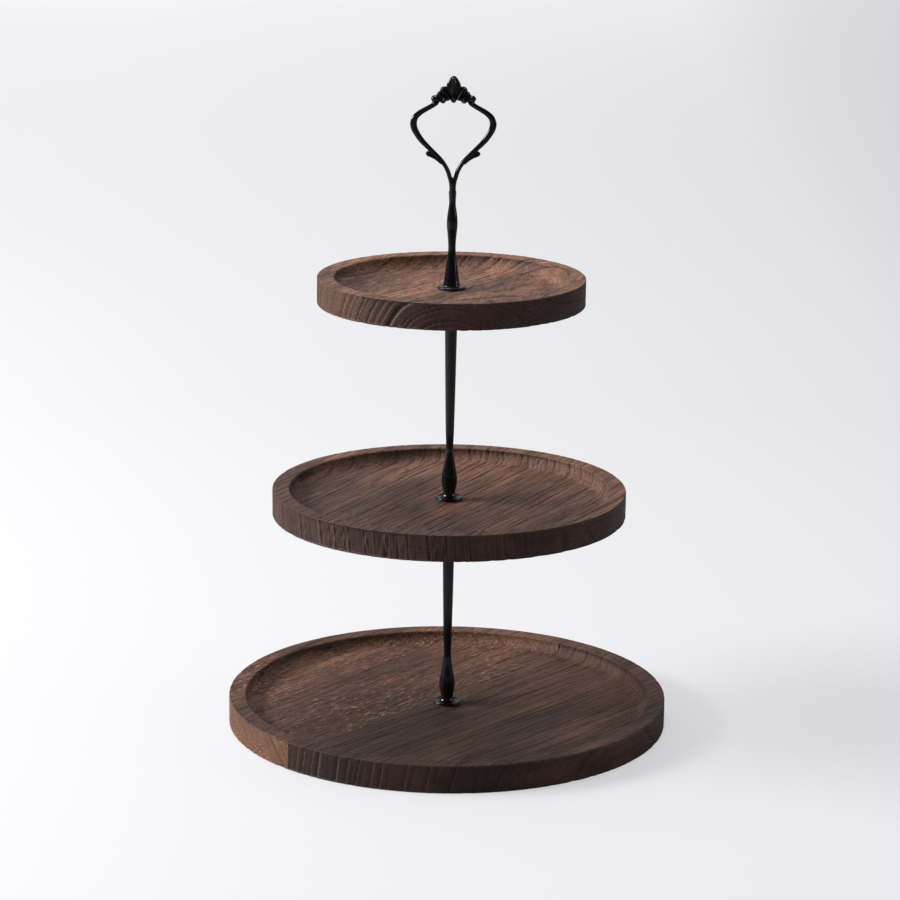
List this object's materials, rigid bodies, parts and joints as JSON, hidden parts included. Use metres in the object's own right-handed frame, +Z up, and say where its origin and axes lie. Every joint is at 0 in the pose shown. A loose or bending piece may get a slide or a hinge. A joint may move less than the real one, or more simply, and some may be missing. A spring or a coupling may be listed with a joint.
{
  "type": "tiered cake stand",
  "caption": "Tiered cake stand: round recessed wooden trays of falling size clamped on slim turned metal rods, with a crown-shaped carrying loop on top.",
  "frame": {"origin": "centre of the bottom tray's underside, on the axis of the rods", "axes": "+Z up along the rods; the crown-shaped loop lies in the X-Z plane, so X is its width and -Y is the front"},
  "size_m": [0.25, 0.25, 0.371],
  "materials": {
    "wood": "dark brown stained open-grain wood, satin, with raised growth rings",
    "black_paint": "semi-gloss black paint on cast zinc",
    "steel": "plain zinc-plated steel",
    "gasket": "milky soft plastic"
  },
  "bodies": {
    "base": {"bottom_tray_front_board": "wood", "bottom_tray_back_board": "wood", "base_screw": "steel", "base_washer": "steel", "base_gasket": "gasket"},
    "lower_foot_gasket": {"lower_foot_gasket": "gasket"},
    "lower_rod": {"lower_rod": "black_paint", "lower_rod_stud": "steel", "middle_under_washer": "steel", "middle_under_gasket": "gasket"},
    "middle_tray": {"middle_tray": "wood"},
    "middle_foot_gasket": {"middle_foot_gasket": "gasket"},
    "upper_rod": {"upper_rod": "black_paint", "upper_rod_stud": "steel", "top_under_washer": "steel", "top_under_gasket": "gasket"},
    "top_tray": {"top_tray": "wood"},
    "top_foot_gasket": {"top_foot_gasket": "gasket"},
    "handle_column": {"handle_column": "black_paint"},
    "crown_stud": {"crown_stud": "steel"},
    "crown_handle": {"crown_handle": "black_paint"}
  },
  "joints": [
    {"name": "lower_rod_lift", "type": "slide", "parent": "base", "child": "lower_foot_gasket", "axis": [0, 0, 1], "range_m": [0, 0.007]},
    {"name": "lower_rod_turn", "type": "hinge", "parent": "lower_foot_gasket", "child": "lower_rod", "pos_m": [0, 0, 0], "axis": [0, 0, 1], "range_deg": [0, 3600]},
    {"name": "middle_tray_turn", "type": "hinge", "parent": "lower_rod", "child": "middle_tray", "pos_m": [0, 0, 0.1225], "axis": [0, 0, 1], "continuous": true},
    {"name": "upper_rod_lift", "type": "slide", "parent": "lower_rod", "child": "middle_foot_gasket", "axis": [0, 0, 1], "range_m": [0, 0.007]},
    {"name": "upper_rod_turn", "type": "hinge", "parent": "middle_foot_gasket", "child": "upper_rod", "pos_m": [0, 0, 0], "axis": [0, 0, 1], "range_deg": [0, 3600]},
    {"name": "top_tray_turn", "type": "hinge", "parent": "upper_rod", "child": "top_tray", "pos_m": [0, 0, 0.244], "axis": [0, 0, 1], "continuous": true},
    {"name": "handle_column_lift", "type": "slide", "parent": "upper_rod", "child": "top_foot_gasket", "axis": [0, 0, 1], "range_m": [0, 0.007]},
    {"name": "handle_column_turn", "type": "hinge", "parent": "top_foot_gasket", "child": "handle_column", "pos_m": [0, 0, 0], "axis": [0, 0, 1], "range_deg": [0, 3600]},
    {"name": "crown_handle_lift", "type": "slide", "parent": "handle_column", "child": "crown_stud", "axis": [0, 0, 1], "range_m": [0, 0.0045]},
    {"name": "crown_handle_turn", "type": "hinge", "parent": "crown_stud", "child": "crown_handle", "pos_m": [0, 0, 0], "axis": [0, 0, 1], "range_deg": [0, 3600]}
  ],
  "couplings": [
    {"joint": "lower_rod_turn", "follows": "lower_rod_lift", "rad_per_m": 8975},
    {"joint": "upper_rod_turn", "follows": "upper_rod_lift", "rad_per_m": 8975},
    {"joint": "handle_column_turn", "follows": "handle_column_lift", "rad_per_m": 8975},
    {"joint": "crown_handle_turn", "follows": "crown_handle_lift", "rad_per_m": 13962}
  ]
}
